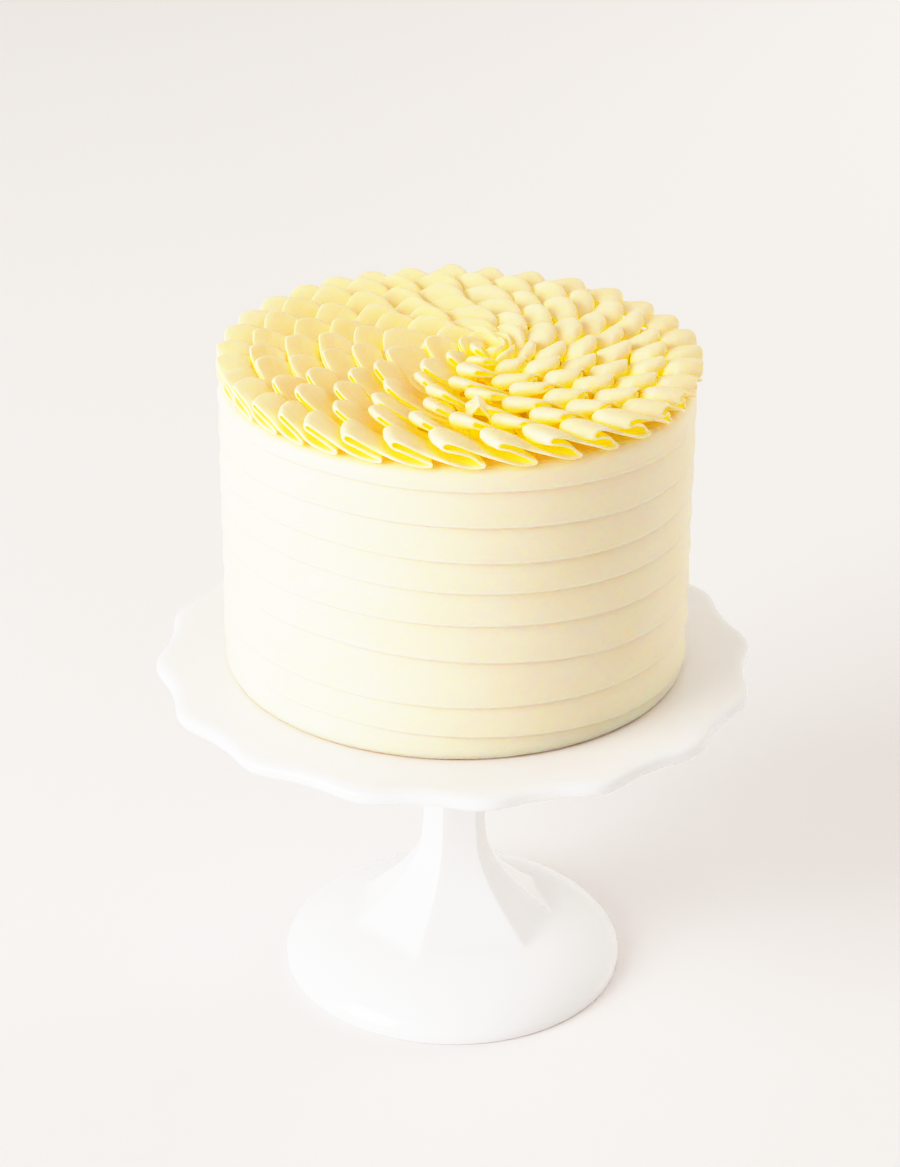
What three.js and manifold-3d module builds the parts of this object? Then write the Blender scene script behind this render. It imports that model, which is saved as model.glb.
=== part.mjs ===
// A lemon layer cake on its stand: an iced round cake with spatula bands round the side, rings of piped
// ruffles over the top, and a footed plate of pressed milk glass under it.
// Millimetres, +Z up. The origin is the centre of the foot, on the surface that the stand rests on.
import * as THREE from "three";
import { mergeVertices } from "three/addons/utils/BufferGeometryUtils.js";
import Module from "manifold-3d";

const TAU = 2 * Math.PI;
const GAP = 0.3; // clearance between two pieces that rest on each other

// The plate of the stand, with rounded lobes round its rim
const PLATE_TOP = 136.7;
const PLATE_RADIUS = 114.3; // to the tip of a lobe
const LOBES = 16;
const LOBE_DEPTH = 3.6;
const FIRST_LOBE = THREE.MathUtils.degToRad(5.5);
const STEPS_PER_LOBE = 5;
const RIM_THICKNESS = 5.6;
const PLATE_THICKNESS = 12; // at the pedestal
const PLATE_HUB_RADIUS = 20;

// The pedestal under the plate: eight flared panels, the front one wider than the rest
const PANEL_CORNERS = [-111, -44.4, -3.8, 38, 77, 115, 153, -163 + 360].map(THREE.MathUtils.degToRad);
const NECK_RADIUS = 12.4; // to a corner between two panels
const NECK_HEIGHT = 75;
const FLARE = [
  [10, 48],
  [19.5, 39.6],
  [32, 26.4],
  [40, 19.6],
  [50, 14.4],
];
const FLARE_LEVELS = 9;

// The round foot, domed above and hollow below
const FOOT_RADIUS = 66.7;
const FOOT_EDGE = 3;
const DOME_RISE = 19;
const DOME_POWER = 3;
const DOME_ROUNDNESS = 1 / 1.6;
const DOME_STEPS = 6;
const HOLLOW_RADIUS = 52;
const HOLLOW_DEPTH = 10;
const FOOT_SEGMENTS = 40;

// The cake
const CAKE_RADIUS = 87;
const CAKE_BASE = PLATE_TOP + GAP;
const CAKE_TOP = 250.2;
const CAKE_HEIGHT = CAKE_TOP - CAKE_BASE;
const TOP_EDGE_ROUND = 3.5;
const BASE_EDGE_ROUND = 0.8;

// The spatula line winds down the side as one spiral. These are its heights above the base where each
// turn starts, at the left of the front. Those above the top edge or below the base lie on the flat ends.
const BAND_LINES = [131, 119, 107.2, 94, 80.8, 69, 55, 42, 23.5, 13, -4, -14];
const BAND_START = THREE.MathUtils.degToRad(-166);
const BAND_BULGE = 0.4; // how far the middle of a band stands out
const BAND_LIP = 0.55; // how far its lower edge stands out
const BAND_TUCK = 0.5; // how far the next band starts inside
const BAND_COLUMNS = 40;
// The share of a turn's drop that the line has made at some angles of the turn, in degrees from its start
const BAND_FALL = [
  [0, 0],
  [45, 0],
  [81, 0.18],
  [119, 0.38],
  [126, 0.4],
  [360, 1],
];

// The piped ruffles: ribbons laid in rings, each folding back over itself. A fold's round bend points
// clockwise seen from above, and its long upper leg runs down under the next fold to a tight tail.
// Each ring has its outer radius and the centre of that edge, its number of folds, the angle of one bend
// in degrees, and the height of the bends at its outer and inner edge. The inner edge of a ring follows
// the outer edge of the next. The outer ring drapes over the edge of the cake.
const RINGS = [
  { outer: 88.2, centre: [0.6, 0], folds: 34, bend: -79.3, rise: [9.3, 10.9] },
  { outer: 75.2, centre: [0, 0], folds: 29, bend: -62.5, rise: [12.4, 9.4] },
  { outer: 62.4, centre: [0, 0], folds: 22, bend: -50, rise: [12.6, 9.4] },
  { outer: 50.2, centre: [0, 0], folds: 17, bend: -35, rise: [12.6, 9.2] },
  { outer: 38.6, centre: [0, 0], folds: 13, bend: -28, rise: [12.5, 9] },
  { outer: 27.6, centre: [0, 0], folds: 9, bend: -40, rise: [12.3, 8.8] },
  { outer: 16, centre: [4.4, 1], folds: 7, bend: -20, rise: [12, 8.8] },
  { outer: 8.4, centre: [9, 1.3], folds: 5, bend: -30, rise: [11.4, 9] },
];
const RUFFLE_BASE = CAKE_TOP + GAP;
const RIBBON_THICKNESS = 1.5;
const BEND_RADIUS = 1.4; // half the height between the ribbon's middle lines at a bend
const BEND_REACH = 2.4; // how far a bend's tip stands ahead of its legs
const TAIL_RADIUS = 1.1;
const TAIL_REACH = 0.62; // from a bend back to its tail, as a share of the fold's pitch
const INNER_LAG = 3; // how far the inner edge lies clockwise of the outer one
const TIGHT_PITCH = 7; // where folds lie closer, the ribbon and its bends are smaller in proportion
// The folds are spaced unevenly: waves that shift them along the ring, as degrees of shift, waves in a
// turn and degrees of phase
const SPACING_WAVES = [
  [2.96, 1, -48.8],
  [1.94, 2, -170],
  [1.76, 3, -123.4],
];
const SPACING_SCATTER = 0.07; // as a share of the pitch
const HEIGHT_SCATTER = 0.07;
const CENTRE_CURL_RADIUS = 2.6;
const CENTRE_CURL_CENTRE = [11.8, 1.5]; // right of the axis, as the rings close in unevenly

// Makes a geometry from a list of points and a list of triangles.
function geometryOf(points, triangles) {
  const geometry = new THREE.BufferGeometry().setFromPoints(points);
  geometry.setIndex(triangles.flat());
  geometry.computeVertexNormals();
  return geometry;
}

// The triangles of the wall between two neighbouring loops of n points, given by their first indices.
function wall(lower, upper, n) {
  const triangles = [];
  for (let i = 0; i < n; i++) {
    const j = (i + 1) % n;
    triangles.push([lower + i, lower + j, upper + j], [lower + i, upper + j, upper + i]);
  }
  return triangles;
}

// A solid from level sections stacked upwards, with a fan to a point on the axis at each end.
function loft(sections) {
  const n = sections[0].length;
  const points = sections.flat();
  const triangles = [];
  for (let k = 0; k + 1 < sections.length; k++) triangles.push(...wall(k * n, (k + 1) * n, n));
  const last = (sections.length - 1) * n;
  const low = points.push(new THREE.Vector3(0, 0, sections[0][0].z)) - 1;
  const high = points.push(new THREE.Vector3(0, 0, sections.at(-1)[0].z)) - 1;
  for (let i = 0; i < n; i++) {
    const j = (i + 1) % n;
    triangles.push([low, j, i], [high, last + i, last + j]);
  }
  return geometryOf(points, triangles);
}

// The point at a radius, an angle and a height.
function polar(radius, angle, z) {
  return new THREE.Vector3(radius * Math.cos(angle), radius * Math.sin(angle), z);
}

// A steady value from -1 to 1 for a whole number, the same on every run.
function scatter(n) {
  const s = Math.sin(n * 127.1 + 11.7) * 43758.5453;
  return 2 * (s - Math.floor(s)) - 1;
}

// How far the rim of the plate stands out at an angle: rounded tips with shallow hollows between them.
function plateRadius(angle) {
  const wave = (1 + Math.cos(LOBES * (angle - FIRST_LOBE))) / 2;
  return PLATE_RADIUS - LOBE_DEPTH * (1 - wave ** 1.3);
}

function plate() {
  const steps = LOBES * STEPS_PER_LOBE;
  const level = (radiusAt, z) =>
    Array.from({ length: steps }, (_, i) => {
      const angle = FIRST_LOBE + (TAU * i) / steps;
      return polar(radiusAt(angle), angle, z);
    });
  const inset = (by) => (angle) => plateRadius(angle) - by;
  return loft([
    level(() => PLATE_HUB_RADIUS, PLATE_TOP - PLATE_THICKNESS),
    level(() => PLATE_RADIUS / 2, PLATE_TOP - PLATE_THICKNESS * 0.68),
    level(inset(5), PLATE_TOP - RIM_THICKNESS),
    level(inset(1.2), PLATE_TOP - RIM_THICKNESS * 0.84),
    level(inset(0), PLATE_TOP - RIM_THICKNESS * 0.52),
    level(inset(0.7), PLATE_TOP - RIM_THICKNESS * 0.18),
    level(inset(2.6), PLATE_TOP),
  ]);
}

// The flared pedestal: an eight-sided section whose corner radius follows one smooth curve.
function pedestal() {
  const top = PLATE_TOP - PLATE_THICKNESS * 0.8;
  const curve = new THREE.SplineCurve(
    [
      ...FLARE,
      [60, NECK_RADIUS + 0.3],
      [NECK_HEIGHT, NECK_RADIUS],
      [NECK_HEIGHT + 30, NECK_RADIUS],
      [top, NECK_RADIUS + 4],
    ].map(([z, radius]) => new THREE.Vector2(z, radius)),
  );
  const sections = curve
    .getPoints(FLARE_LEVELS)
    .map(({ x: z, y: radius }) => PANEL_CORNERS.map((angle) => polar(radius, angle, z)));
  return loft(sections);
}

// The foot: a flat ring to stand on, a domed top and a plain hollow under it.
function foot() {
  const outline = [
    [0, HOLLOW_DEPTH],
    [HOLLOW_RADIUS - 2, HOLLOW_DEPTH],
    [HOLLOW_RADIUS, 0],
    [FOOT_RADIUS - 0.8, 0],
    [FOOT_RADIUS, 0.8],
  ];
  for (let k = 0; k <= DOME_STEPS; k++) {
    const radius = FOOT_RADIUS * (1 - (k / DOME_STEPS) ** 1.8);
    const rise = DOME_RISE * (1 - (radius / FOOT_RADIUS) ** DOME_POWER) ** DOME_ROUNDNESS;
    outline.push([radius, FOOT_EDGE + rise]);
  }
  const points = outline.map(([radius, z]) => new THREE.Vector2(radius, z));
  return new THREE.LatheGeometry(points, FOOT_SEGMENTS).rotateX(Math.PI / 2);
}

// The height of the spatula line above the base at a total angle wound from the start of the spiral.
function lineHeight(wound) {
  const turn = Math.min(Math.floor(wound / TAU + 1e-9), BAND_LINES.length - 2);
  const degrees = THREE.MathUtils.radToDeg(wound - turn * TAU);
  const next = Math.max(1, BAND_FALL.findIndex(([angle]) => angle >= degrees - 1e-6));
  const [fromAngle, fromShare] = BAND_FALL[next - 1];
  const [toAngle, toShare] = BAND_FALL[next];
  const share = fromShare + ((toShare - fromShare) * (degrees - fromAngle)) / (toAngle - fromAngle);
  const wander = 0.7 * Math.sin(0.83 * wound + 1.07) + 0.4 * Math.sin(2.3 * wound - 0.88);
  return THREE.MathUtils.lerp(BAND_LINES[turn], BAND_LINES[turn + 1], share) + wander;
}

// The point of the icing at an angle and at a height measured along its outline: up the side, round the
// top edge and in over the flat top, or in under the base. It stands out from that outline by relief.
function icingPoint(angle, height, relief) {
  const sideTop = CAKE_HEIGHT - TOP_EDGE_ROUND;
  const arc = (TOP_EDGE_ROUND * Math.PI) / 2;
  if (height < BASE_EDGE_ROUND) {
    const inward = BASE_EDGE_ROUND - height;
    const rise = Math.max(0, BASE_EDGE_ROUND - inward);
    return polar(CAKE_RADIUS - inward, angle, CAKE_BASE + rise);
  }
  if (height <= sideTop) return polar(CAKE_RADIUS + relief, angle, CAKE_BASE + height);
  const turned = Math.min((height - sideTop) / TOP_EDGE_ROUND, Math.PI / 2);
  const inward = Math.max(0, height - sideTop - arc);
  const radius = CAKE_RADIUS - TOP_EDGE_ROUND * (1 - Math.cos(turned)) - inward;
  const fade = Math.cos(turned);
  return polar(radius + relief * fade, angle, CAKE_TOP - TOP_EDGE_ROUND * (1 - Math.sin(turned)));
}

// How strong the bands are at a height: they fade out at the base and over the top edge.
function bandStrength(height) {
  const fromBase = THREE.MathUtils.smoothstep(height, BASE_EDGE_ROUND, 4);
  const toTop = 1 - THREE.MathUtils.smoothstep(height, CAKE_HEIGHT - TOP_EDGE_ROUND - 2, CAKE_HEIGHT);
  return fromBase * toTop;
}

// The iced cake: one strip wound down the side like a thread, each turn a convex band whose lower edge
// stands a little over the next one. Fans on the flat top and under the base close it.
function cake() {
  const turns = BAND_LINES.length - 2;
  const columns = turns * BAND_COLUMNS;
  const rows = [
    [0, -BAND_TUCK],
    [0.42, BAND_BULGE],
    [1, BAND_LIP],
  ];
  const points = [];
  for (let i = 0; i <= columns; i++) {
    const wound = (TAU * i) / BAND_COLUMNS;
    const upper = lineHeight(wound);
    const lower = lineHeight(wound + TAU);
    for (const [share, relief] of rows) {
      const height = THREE.MathUtils.lerp(upper, lower, share);
      points.push(icingPoint(BAND_START + wound, height, relief * bandStrength(height)));
    }
  }
  const at = (i, row) => i * rows.length + row;
  const triangles = [];
  const quad = (a, b, c, d) => triangles.push([a, b, c], [a, c, d]);
  for (let i = 0; i < columns; i++) {
    for (let row = 0; row + 1 < rows.length; row++)
      quad(at(i, row + 1), at(i + 1, row + 1), at(i + 1, row), at(i, row));
    const below = i + BAND_COLUMNS;
    if (below < columns) quad(at(below, 0), at(below + 1, 0), at(i + 1, 2), at(i, 2));
  }
  const topCentre = points.push(new THREE.Vector3(0, 0, CAKE_TOP)) - 1;
  for (let i = 0; i < BAND_COLUMNS; i++) triangles.push([topCentre, at(i, 0), at(i + 1, 0)]);
  triangles.push([topCentre, at(0, 1), at(0, 0)], [topCentre, at(0, 2), at(0, 1)]);
  triangles.push([topCentre, at(BAND_COLUMNS, 0), at(0, 2)]);
  const baseCentre = points.push(new THREE.Vector3(0, 0, CAKE_BASE)) - 1;
  const first = columns - BAND_COLUMNS;
  for (let i = first; i < columns; i++) triangles.push([baseCentre, at(i + 1, 2), at(i, 2)]);
  triangles.push([baseCentre, at(columns, 1), at(columns, 2)], [baseCentre, at(columns, 0), at(columns, 1)]);
  triangles.push([baseCentre, at(first, 2), at(columns, 0)]);
  return geometryOf(points, triangles);
}

// The middle line of one fold, as pairs of a share of the pitch and a height above the cake. It starts on
// top of the round bend, goes round it and back along the lower leg to the tail, and from there up along
// the upper leg of the fold before, whose own bend lies one pitch away.
function foldLine(pitch, rise, scale) {
  const low = (scale * RIBBON_THICKNESS) / 2;
  const bend = scale * BEND_RADIUS;
  const legHeight = (share) => THREE.MathUtils.mapLinear(share, TAIL_REACH, -1, low, rise);
  return [
    [0, rise],
    [(-scale * BEND_REACH) / pitch, rise - bend],
    [0, rise - 2 * bend],
    [TAIL_REACH, low + 2 * scale * TAIL_RADIUS],
    [TAIL_REACH, low],
    [0.1, legHeight(0.1)],
    [-0.45, legHeight(-0.45)],
  ];
}

// The angle at a place along a ring, counted in folds from the given bend.
function foldAngle({ folds, bend }, ring, place) {
  const whole = Math.floor(place);
  const spread = (n) => SPACING_SCATTER * scatter(100 * ring + (((n % folds) + folds) % folds));
  const jitter = THREE.MathUtils.lerp(spread(whole), spread(whole + 1), place - whole);
  const even = bend + (360 * place) / folds;
  const shift = SPACING_WAVES.reduce((sum, [degrees, waves, phase]) => {
    return sum + degrees * Math.sin(THREE.MathUtils.degToRad(waves * even + phase));
  }, 0);
  return THREE.MathUtils.degToRad(even + shift + (360 * jitter) / folds);
}

// The ribbon of one ring: its section, from the outer edge to the inner one, carried along the fold line
// all the way round, and closed on itself.
function ruffleRing(ring) {
  const { outer, centre, folds, rise } = RINGS[ring];
  const next = RINGS[ring + 1] ?? { outer: CENTRE_CURL_RADIUS, centre: CENTRE_CURL_CENTRE };
  const longestChord = (0.7 * TAU * next.outer) / folds;
  const inner = next.outer + GAP + longestChord ** 2 / (8 * next.outer);
  const edges = [
    { radius: outer, rise: rise[0], lag: 0, centre },
    { radius: inner, rise: rise[1], lag: INNER_LAG, centre: next.centre },
  ];
  const [[outerUp, outerDown], [innerUp, innerDown]] = edges.map(({ radius, rise, lag, centre }) => {
    const middle = new THREE.Vector3(...centre, 0);
    const pitch = (TAU * radius) / folds;
    const scale = Math.min(1, pitch / TIGHT_PITCH);
    const line = [];
    for (let n = folds; n > 0; n--) {
      const tall = 1 + HEIGHT_SCATTER * scatter(100 * ring + (n % folds) + 50);
      for (const [share, z] of foldLine(pitch, rise * tall, scale)) {
        line.push(new THREE.Vector2(foldAngle(RINGS[ring], ring, n + share) * radius - lag * scale, z));
      }
    }
    return ribbonFaces(line, TAU * radius, scale * RIBBON_THICKNESS).map((side) =>
      side.map(({ x, y }) => polar(radius, x / radius, RUFFLE_BASE + y).add(middle)),
    );
  });
  const points = outerUp.flatMap((_, i) => [outerUp[i], innerUp[i], innerDown[i], outerDown[i]]);
  const triangles = [];
  for (let i = 0; i < outerUp.length; i++) {
    triangles.push(...wall(4 * i, 4 * ((i + 1) % outerUp.length), 4));
  }
  return geometryOf(points, triangles);
}

// Both faces of a ribbon along its middle line, which runs clockwise and repeats after one turn of the
// given length: each point moved out along the mitre of the two stretches that meet there.
function ribbonFaces(line, turnLength, thickness) {
  const round = new THREE.Vector2(turnLength, 0);
  const half = thickness / 2;
  const n = line.length;
  const up = [];
  const down = [];
  for (let i = 0; i < n; i++) {
    const before = i ? line[i - 1] : line[n - 1].clone().add(round);
    const after = i + 1 < n ? line[i + 1] : line[0].clone().sub(round);
    const arriving = line[i].clone().sub(before).normalize();
    const leaving = after.clone().sub(line[i]).normalize();
    const mean = arriving.clone().add(leaving).normalize();
    const mitre = Math.min(1.5, 1 / Math.max(0.1, mean.dot(leaving)));
    const normal = new THREE.Vector2(mean.y, -mean.x).multiplyScalar(half * mitre);
    up.push(line[i].clone().add(normal));
    down.push(line[i].clone().sub(normal));
  }
  return [up, down];
}

// The small curl that stands in the middle, where the piping ends.
function centreCurl() {
  const levels = [
    [0.9, 0],
    [1, 4],
    [0.8, 9],
    [0.3, 11],
  ];
  const sections = levels.map(([share, z], k) =>
    Array.from({ length: 10 }, (_, i) =>
      polar(CENTRE_CURL_RADIUS * share * (i % 2 ? 1 : 0.85), (TAU * i) / 10 - 0.2 * k, RUFFLE_BASE + z),
    ),
  );
  return loft(sections).translate(...CENTRE_CURL_CENTRE, 0);
}

const wasm = await Module();
wasm.setup();

// A closed mesh as a solid for joining. It keeps only the positions, with shared points merged.
function solidOf(geometry) {
  const bare = geometry.clone();
  bare.deleteAttribute("normal");
  bare.deleteAttribute("uv");
  const merged = mergeVertices(bare, 1e-4);
  return new wasm.Manifold(
    new wasm.Mesh({
      numProp: 3,
      vertProperties: new Float32Array(merged.attributes.position.array),
      triVerts: new Uint32Array(merged.index.array),
    }),
  );
}

// One geometry from several closed meshes joined together.
function join(...geometries) {
  const whole = geometries.map(solidOf).reduce((joined, next) => joined.add(next));
  const { vertProperties, triVerts } = whole.getMesh();
  const geometry = new THREE.BufferGeometry();
  geometry.setAttribute("position", new THREE.BufferAttribute(new Float32Array(vertProperties), 3));
  geometry.setIndex(new THREE.BufferAttribute(new Uint32Array(triVerts), 1));
  geometry.computeVertexNormals();
  return geometry;
}

const MILK_GLASS = new THREE.MeshStandardMaterial({ color: "#f7f6f3", roughness: 0.12, metalness: 0 });
const VANILLA_ICING = new THREE.MeshStandardMaterial({ color: "#f6ecc9", roughness: 0.5, metalness: 0 });
const LEMON_ICING = new THREE.MeshStandardMaterial({ color: "#fbe58b", roughness: 0.45, metalness: 0 });

function piece(name, geometry, material) {
  const mesh = new THREE.Mesh(geometry, material);
  mesh.name = name;
  return mesh;
}

const stand = new THREE.Group();
stand.add(piece("stand", join(plate(), pedestal(), foot()), MILK_GLASS));

const topping = new THREE.Group();
RINGS.forEach((_, ring) => {
  topping.add(piece(`ruffle_ring_${ring + 1}`, ruffleRing(ring), LEMON_ICING.clone()));
});
topping.add(piece("centre_curl", centreCurl(), LEMON_ICING.clone()));

const cakeOnStand = new THREE.Group();
cakeOnStand.add(stand, piece("cake", cake(), VANILLA_ICING), topping);

export default cakeOnStand;
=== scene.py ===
"""A lemon layer cake on its stand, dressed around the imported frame.

The stand is one piece of pressed milk glass: a plate with rounded lobes, a pedestal of eight flared panels
and a round domed foot. The cake is spread with pale icing in bands that wind down its side, and rings of
lemon icing are piped over its top as folded ruffles. Sizes are in millimetres until a mesh is made.
"""

from __future__ import annotations

import logging
import math
from dataclasses import dataclass, field
from enum import Enum
from typing import Any

import bpy
import numpy as np
from bpy.types import Material, Node, NodeSocket, NodeTree, Object
from mathutils import Matrix

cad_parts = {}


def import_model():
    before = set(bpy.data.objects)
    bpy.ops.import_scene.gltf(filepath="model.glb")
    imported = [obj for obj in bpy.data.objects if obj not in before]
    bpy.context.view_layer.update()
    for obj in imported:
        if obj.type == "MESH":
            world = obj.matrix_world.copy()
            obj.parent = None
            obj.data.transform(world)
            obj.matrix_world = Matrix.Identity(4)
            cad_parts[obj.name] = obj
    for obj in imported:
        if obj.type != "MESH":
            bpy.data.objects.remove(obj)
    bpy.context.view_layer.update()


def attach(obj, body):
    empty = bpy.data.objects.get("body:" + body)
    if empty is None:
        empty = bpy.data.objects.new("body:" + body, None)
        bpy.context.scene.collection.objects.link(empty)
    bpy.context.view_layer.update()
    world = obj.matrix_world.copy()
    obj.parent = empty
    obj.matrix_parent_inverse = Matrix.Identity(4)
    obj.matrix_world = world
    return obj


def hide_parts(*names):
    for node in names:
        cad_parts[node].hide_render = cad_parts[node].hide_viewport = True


Array = np.ndarray
Faces = list[list[int]]
Values = tuple[float, ...]
Pair = tuple[float, float]
Profile = tuple[Pair, ...]
Waves = tuple[tuple[float, float, float], ...]  # each with its size, rate and phase

LOG = logging.getLogger("lemon_cake")
METRES = 0.001
TAU = 2 * math.pi
RESTING_GAP = 0.3  # clearance between pieces that rest on each other
PLATE_TOP = 136.7
CAKE_TOP = 250.2


class Slot(Enum):
    """The material slots."""

    MILK_GLASS = "milk_glass"
    VANILLA_ICING = "vanilla_icing"
    LEMON_ICING = "lemon_icing"


# Colours, nodes and meshes


def linear_colour(code: str) -> tuple[float, float, float, float]:
    """Turns an sRGB hex value such as "#f3e4bf" into linear red, green, blue and an alpha of 1."""
    shares = [int(code[i : i + 2], 16) / 255 for i in (1, 3, 5)]
    bent = [s / 12.92 if s <= 0.04045 else ((s + 0.055) / 1.055) ** 2.4 for s in shares]
    return (bent[0], bent[1], bent[2], 1.0)


def add_node(
    tree: NodeTree,
    kind: str,
    settings: dict[str | int, Any] | None = None,
    links: dict[str | int, NodeSocket] | None = None,
) -> Node:
    """Adds a node with its settings and links.

    Args:
        tree: The node tree.
        kind: The node's type name.
        settings: Values by the name or index of an input, or by the name of an attribute.
        links: Output sockets by the name or index of the input that each feeds.

    Returns:
        The new node.
    """
    node = tree.nodes.new(kind)
    for name, value in (settings or {}).items():
        if isinstance(name, int) or name in node.inputs:
            node.inputs[name].default_value = value
        else:
            setattr(node, name, value)
    for name, socket in (links or {}).items():
        tree.links.new(socket, node.inputs[name])
    return node


def add_object(name: str, data: bpy.types.ID) -> Object:
    """Makes an object of some data and links it to the scene."""
    made = bpy.data.objects.new(name, data)
    bpy.context.scene.collection.objects.link(made)
    return made


def mesh_piece(name: str, points: Array, faces: Faces, finish: Material) -> Object:
    """Makes a smooth-shaded mesh object at the origin.

    Args:
        name: The piece's name.
        points: The points in millimetres, of shape (n, 3).
        faces: Lists of point indices, anticlockwise seen from outside.
        finish: The material of the whole piece.

    Returns:
        The object, linked to the scene.
    """
    mesh = bpy.data.meshes.new(name)
    mesh.from_pydata((points * METRES).tolist(), [], faces)
    mesh.validate()
    mesh.shade_smooth()
    mesh.materials.append(finish)
    return add_object(name, mesh)


def grid_faces(rows: int, columns: int, close_rows: bool = False) -> Faces:
    """The quads of a grid whose columns close on themselves.

    Point (row, column) has the index row * columns + column. A face looks towards the side from which its
    columns run anticlockwise while its rows run upwards.

    Args:
        rows: How many rows of points the grid has.
        columns: How many points each row has.
        close_rows: Whether the last row joins the first one.

    Returns:
        The quads, as lists of four indices.
    """
    row = np.arange(rows if close_rows else rows - 1)[:, None]
    column = np.arange(columns)[None, :]
    after_row, after_column = (row + 1) % rows, (column + 1) % columns
    corners = [(row, column), (row, after_column), (after_row, after_column), (after_row, column)]
    quads = np.stack([np.broadcast_to(r * columns + c, (len(row), columns)) for r, c in corners], axis=-1)
    return quads.reshape(-1, 4).tolist()


def fan_faces(middle: int, loop: Array) -> Faces:
    """The triangles from a middle point to a loop of points, which is anticlockwise seen from outside."""
    return np.stack([np.full_like(loop, middle), loop, np.roll(loop, -1)], axis=-1).tolist()


def capped_grid(grid: Array, first: list[float], last: list[float]) -> tuple[Array, Faces]:
    """Closes a grid of rings with a fan to one point before its first ring and one after its last.

    Args:
        grid: Points of shape (rings, columns, 3).
        first: The point that closes the first ring.
        last: The point that closes the last ring.

    Returns:
        All the points, and the faces between them.
    """
    rings, columns = grid.shape[:2]
    points = np.vstack([grid.reshape(-1, 3), [first, last]])
    ring = np.arange(columns)
    faces = grid_faces(rings, columns)
    faces += fan_faces(len(points) - 2, ring[::-1])
    faces += fan_faces(len(points) - 1, ring + (rings - 1) * columns)
    return points, faces


def scatter(number: Array) -> Array:
    """A steady value from -1 to 1 for each whole number: the fractional part of a stretched sine."""
    stretched = np.sin(np.asarray(number, float) * 127.1 + 11.7) * 43758.5453
    return 2 * (stretched - np.floor(stretched)) - 1


def smooth_step(values: Array, low: float, high: float) -> Array:
    """Rises smoothly from 0 at low to 1 at high, as 3t^2 - 2t^3."""
    t = np.clip((values - low) / (high - low), 0, 1)
    return t * t * (3 - 2 * t)


def cubic(t: Array, start: Array, end: Array, start_slope: Array, end_slope: Array) -> Array:
    """The cubic in t that has the given values and slopes at 0 and at 1."""
    rising = (2 * t**3 - 3 * t**2 + 1) * start + (t**3 - 2 * t**2 + t) * start_slope
    return rising + (3 * t**2 - 2 * t**3) * end + (t**3 - t**2) * end_slope


# Finishes


def start_material(name: str, settings: dict[str, Any]) -> tuple[Material, NodeTree, Node]:
    """Starts a material and sets its shader's own sockets.

    Args:
        name: The material's name.
        settings: Values by the name of the socket.

    Returns:
        The material, its node tree and its shader.
    """
    made = bpy.data.materials.new(name)
    made.use_nodes = True
    shader = made.node_tree.nodes["Principled BSDF"]
    for socket, value in settings.items():
        shader.inputs[socket].default_value = value
    return made, made.node_tree, shader


@dataclass(frozen=True)
class PressedMilkGlass:
    """Opaque white soda-lime glass, pressed in a mould and fire polished.

    The eye gets a deep white with a little light under the surface, a clear gloss, and the faint waviness
    that fire polishing leaves.
    """

    white: str = "#f6f5f5"
    roughness: Pair = (0.1, 0.18)
    wave_mm: float = 14.0

    def material(self) -> Material:
        """Builds the material, and returns it."""
        settings = {
            "Base Color": linear_colour(self.white),
            "IOR": 1.51,
            "Subsurface Weight": 0.25,
            "Subsurface Scale": 0.004,
            "Subsurface Radius": (1.0, 0.95, 0.85),
        }
        made, tree, shader = start_material("pressed_milk_glass", settings)
        place = add_node(tree, "ShaderNodeTexCoord").outputs["Object"]
        size = {"Scale": 1 / (self.wave_mm * METRES), "Detail": 1.5}
        waves = add_node(tree, "ShaderNodeTexNoise", size, {"Vector": place}).outputs["Fac"]
        ends = {"To Min": self.roughness[0], "To Max": self.roughness[1]}
        gloss = add_node(tree, "ShaderNodeMapRange", ends, {"Value": waves})
        bump = add_node(tree, "ShaderNodeBump", {"Strength": 0.06, "Distance": 0.0006}, {"Height": waves})
        tree.links.new(gloss.outputs["Result"], shader.inputs["Roughness"])
        tree.links.new(bump.outputs["Normal"], shader.inputs["Normal"])
        return made


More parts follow.
